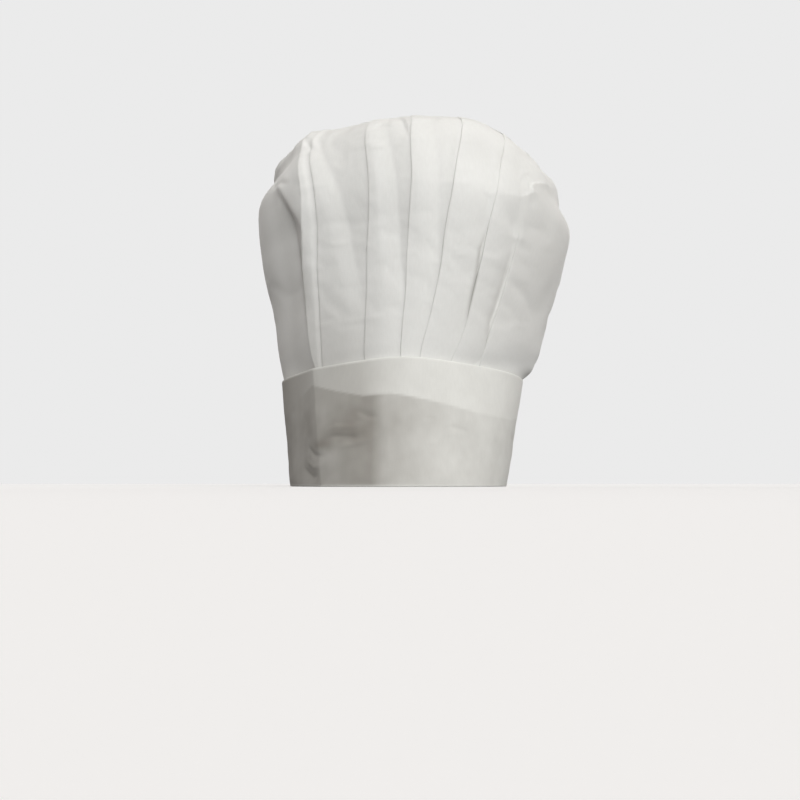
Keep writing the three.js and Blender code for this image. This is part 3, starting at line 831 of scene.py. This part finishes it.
def make_band():
    """The band: its cross-section carried round the head, with the storage folds and creases."""
    heights, insets = band_profile().T
    edges = np.array(BAND_EDGES)
    values = edges[0] + (edges[1] - edges[0]) * heights[:, None] / BAND_HEIGHT
    section = {name: values[:, k][:, None] for k, name in enumerate(SECTION_COLUMNS)}
    twist = np.radians(RIM_TWIST) * (1 - heights / BAND_HEIGHT)
    start = fold_azimuth(0, np.array([BAND_HEIGHT]))[0]
    turns = np.linspace(0, 2 * np.pi, BAND_COLUMNS, endpoint=False)
    azimuth = start + twist[:, None] + turns[None]
    radius = values[:, 1:3].mean(axis=1)
    flat = on_oval(section, azimuth, 0)
    shape = sum(height * waves(flat, apart, seed) for height, apart, seed in BAND_BUMPS)
    order = np.argsort(heights, kind="stable")
    pressed = np.zeros(azimuth.shape)
    for height, left, right, *points in BAND_CREASES:
        press(pressed, azimuth[order], heights[order], radius[order], height, left, right, points)
    shape[order] += pressed
    risen = fade(heights, 0, BAND_CALM_AT_RIM)
    risen = risen * fade(heights, BAND_HEIGHT, BAND_HEIGHT - BAND_CALM_AT_TOP)
    shape *= risen[:, None]
    level = shape - storage_inset(azimuth, heights) - insets[:, None]
    grid = on_oval(section, azimuth, level)
    index = np.arange(azimuth.size).reshape(azimuth.shape)
    polygons = quads(index[::-1]).tolist()
    tone = band_tone(azimuth, heights, flat)
    return build_mesh("band_cloth", grid.reshape(-1, 3), polygons, tone)


# ---- Materials ----

CROWN_COLOUR, CROWN_CLOUDINESS = (0.86, 0.86, 0.84), 0.012
BAND_COLOUR, BAND_CLOUDINESS = (0.8, 0.8, 0.77), 0.03
DARKEST = (0.085, 0.06, 0.035)  # the warm dark that the cloth's colour goes towards as its tone falls, in its painted shade
CLOUDS_A_METRE, FIBRES_A_METRE, DOTS_A_METRE = 60, 700, 850
FIBRE_BUMP, DOT_BUMP = 0.15, 0.12
BUMP_HEIGHT = 0.2 * MM


def noise(nodes, links, scale, detail, stretch=(1, 1, 1)):
    """A noise in the piece's own space, with scale features to a metre."""
    place = nodes.new("ShaderNodeTexCoord")
    mapping = nodes.new("ShaderNodeMapping")
    mapping.inputs["Scale"].default_value = stretch
    texture = nodes.new("ShaderNodeTexNoise")
    texture.inputs["Scale"].default_value = scale
    texture.inputs["Detail"].default_value = detail
    links.new(place.outputs["Object"], mapping.inputs["Vector"])
    links.new(mapping.outputs["Vector"], texture.inputs["Vector"])
    return texture


def between(nodes, links, source, low, high):
    """Turns a texture's 0.3 to 0.7 into low to high."""
    ramp = nodes.new("ShaderNodeMapRange")
    for socket, value in (("From Min", 0.3), ("From Max", 0.7), ("To Min", low), ("To Max", high)):
        ramp.inputs[socket].default_value = value
    links.new(source, ramp.inputs["Value"])
    return ramp.outputs["Result"]


def multiply(nodes, links, first, second):
    """The product of two values."""
    node = nodes.new("ShaderNodeMath")
    node.operation = "MULTIPLY"
    links.new(first, node.inputs[0])
    links.new(second, node.inputs[1])
    return node.outputs[0]


def cloth_material(name, colour, cloudiness):
    """Matte non-woven cloth, which takes painted shade and painted light from its tone: uneven
    clouds of fibres, streaks of single fibres and a faint grid of pressed dots."""
    material = bpy.data.materials.new(name)
    material.use_nodes = True
    nodes, links = material.node_tree.nodes, material.node_tree.links
    shader = nodes["Principled BSDF"]
    shader.inputs["Specular IOR Level"].default_value = 0.2
    shader.inputs["Sheen Weight"].default_value = 0.08
    tone = nodes.new("ShaderNodeAttribute")
    tone.attribute_name = "tone"
    clouds = noise(nodes, links, CLOUDS_A_METRE, 4)
    fibres = noise(nodes, links, FIBRES_A_METRE, 3, (1, 1, 0.3))
    dots = nodes.new("ShaderNodeTexVoronoi")
    dots.inputs["Scale"].default_value = DOTS_A_METRE
    dots.inputs["Randomness"].default_value = 0.3
    links.new(nodes.new("ShaderNodeTexCoord").outputs["Object"], dots.inputs["Vector"])
    cloudy = between(nodes, links, clouds.outputs["Fac"], 1 - cloudiness, 1 + cloudiness)
    streaky = between(nodes, links, fibres.outputs["Fac"], 0.985, 1.015)
    light = multiply(nodes, links, multiply(nodes, links, tone.outputs["Fac"], cloudy), streaky)
    # The tone's painted shade darkens the colour towards DARKEST, and its painted light lightens
    # it.
    shade = nodes.new("ShaderNodeMix")
    shade.data_type = "RGBA"
    shade.clamp_factor = False
    shade.inputs["A"].default_value = (*DARKEST, 1)
    shade.inputs["B"].default_value = (*colour, 1)
    links.new(light, shade.inputs["Factor"])
    links.new(shade.outputs["Result"], shader.inputs["Base Color"])
    links.new(between(nodes, links, fibres.outputs["Fac"], 0.8, 0.95), shader.inputs["Roughness"])
    normal = None
    relief = ((fibres.outputs["Fac"], FIBRE_BUMP), (dots.outputs["Distance"], DOT_BUMP))
    for height, strength in relief:
        bump = nodes.new("ShaderNodeBump")
        bump.inputs["Strength"].default_value = strength
        bump.inputs["Distance"].default_value = BUMP_HEIGHT
        links.new(height, bump.inputs["Height"])
        if normal:
            links.new(normal, bump.inputs["Normal"])
        normal = bump.outputs["Normal"]
    links.new(normal, shader.inputs["Normal"])
    return material


# ---- Stage ----

# The camera looks level at the hat from just over the floor, and its shift frames the whole hat.
CAMERA_PLACE = (BAND_CENTRE_X * MM - 0.0015, -0.560, 0.002)
CAMERA_LENS, CAMERA_SENSOR, CAMERA_SHIFT = 32.58, 36, 0.1047
STUDIO_SEEN, STUDIO_LIGHT = (0.83, 0.83, 0.83), (0.305, 0.28, 0.262)
FLOOR_RADIUS = 8
LAMPS = (
    # name, azimuth, elevation, spread, strength, colour
    ("key", 12, 9, 40, 2.6, (0.985, 1.0, 0.995)),
    ("side", 58, 24, 40, 0.55, (1.0, 0.97, 0.94)),
    ("back", 170, 14, 60, 0.9, (1.0, 1.0, 1.0)),
    ("rim", 228, 32, 60, 0.7, (1.0, 0.99, 0.98)),
)


def make_camera():
    """The camera of the main view."""
    data = bpy.data.cameras.new("camera")
    data.lens = CAMERA_LENS
    data.sensor_width = CAMERA_SENSOR
    data.shift_y = CAMERA_SHIFT
    data.clip_start = 0.001
    camera = bpy.data.objects.new("camera", data)
    camera.location = CAMERA_PLACE
    camera.rotation_euler = (math.radians(90), 0, 0)
    bpy.context.scene.collection.objects.link(camera)
    bpy.context.scene.camera = camera


def make_world(seen, ambient):
    """An even pale studio. seen is the shade behind the hat, and ambient lights it."""
    world = bpy.data.worlds.new("studio")
    bpy.context.scene.world = world
    world.use_nodes = True
    nodes, links = world.node_tree.nodes, world.node_tree.links
    nodes.clear()
    out = nodes.new("ShaderNodeOutputWorld")
    mix = nodes.new("ShaderNodeMixShader")
    path = nodes.new("ShaderNodeLightPath")
    links.new(path.outputs["Is Camera Ray"], mix.inputs[0])
    for socket, colour in ((1, ambient), (2, seen)):
        background = nodes.new("ShaderNodeBackground")
        background.inputs["Color"].default_value = (*colour, 1)
        links.new(background.outputs[0], mix.inputs[socket])
    links.new(mix.outputs[0], out.inputs[0])


def make_floor(seen, bounced, glow):
    """A pale round floor. The camera sees the shade seen with a glow, and the floor throws only
    the share bounced of its light back at the hat."""
    mesh = bpy.data.meshes.new("floor")
    turns = np.linspace(0, 2 * np.pi, 64, endpoint=False)
    ring = [(FLOOR_RADIUS * math.cos(a), FLOOR_RADIUS * math.sin(a), 0) for a in turns]
    mesh.from_pydata(ring, [], [list(range(len(ring)))])
    floor = bpy.data.objects.new("floor", mesh)
    bpy.context.scene.collection.objects.link(floor)
    material = bpy.data.materials.new("floor_paper")
    material.use_nodes = True
    nodes, links = material.node_tree.nodes, material.node_tree.links
    shader = nodes["Principled BSDF"]
    shader.inputs["Roughness"].default_value = 1
    shader.inputs["Specular IOR Level"].default_value = 0
    path = nodes.new("ShaderNodeLightPath")
    for socket, low, high in (("Base Color", bounced, seen), ("Emission Color", 0.0, glow)):
        mix = nodes.new("ShaderNodeMix")
        mix.data_type = "RGBA"
        mix.inputs["A"].default_value = (low, low, low, 1)
        mix.inputs["B"].default_value = (high, high, high, 1)
        links.new(path.outputs["Is Camera Ray"], mix.inputs["Factor"])
        links.new(mix.outputs["Result"], shader.inputs[socket])
    shader.inputs["Emission Strength"].default_value = 1
    mesh.materials.append(material)


def sun(name, azimuth, elevation, spread, strength, colour):
    """A broad soft light from an azimuth and an elevation, in degrees."""
    data = bpy.data.lights.new(name, "SUN")
    data.angle = math.radians(spread)
    data.energy = strength
    data.color = colour
    light = bpy.data.objects.new(name, data)
    light.rotation_euler = (math.radians(90 - elevation), 0, math.radians(azimuth))
    bpy.context.scene.collection.objects.link(light)


bpy.context.scene.view_settings.view_transform = "Standard"
make_camera()
make_world(seen=STUDIO_SEEN, ambient=STUDIO_LIGHT)
make_floor(seen=0.7, bounced=0.1, glow=0.38)
for lamp in LAMPS:
    sun(*lamp)

crown = make_crown()
crown.data.materials.append(cloth_material("crown_nonwoven", CROWN_COLOUR, CROWN_CLOUDINESS))
band = make_band()
band.data.materials.append(cloth_material("band_nonwoven", BAND_COLOUR, BAND_CLOUDINESS))

for piece, node, slot in ((crown, "crown", "crown_cloth"), (band, "band", "band_cloth")):
    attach(piece, "root")
    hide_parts(node)
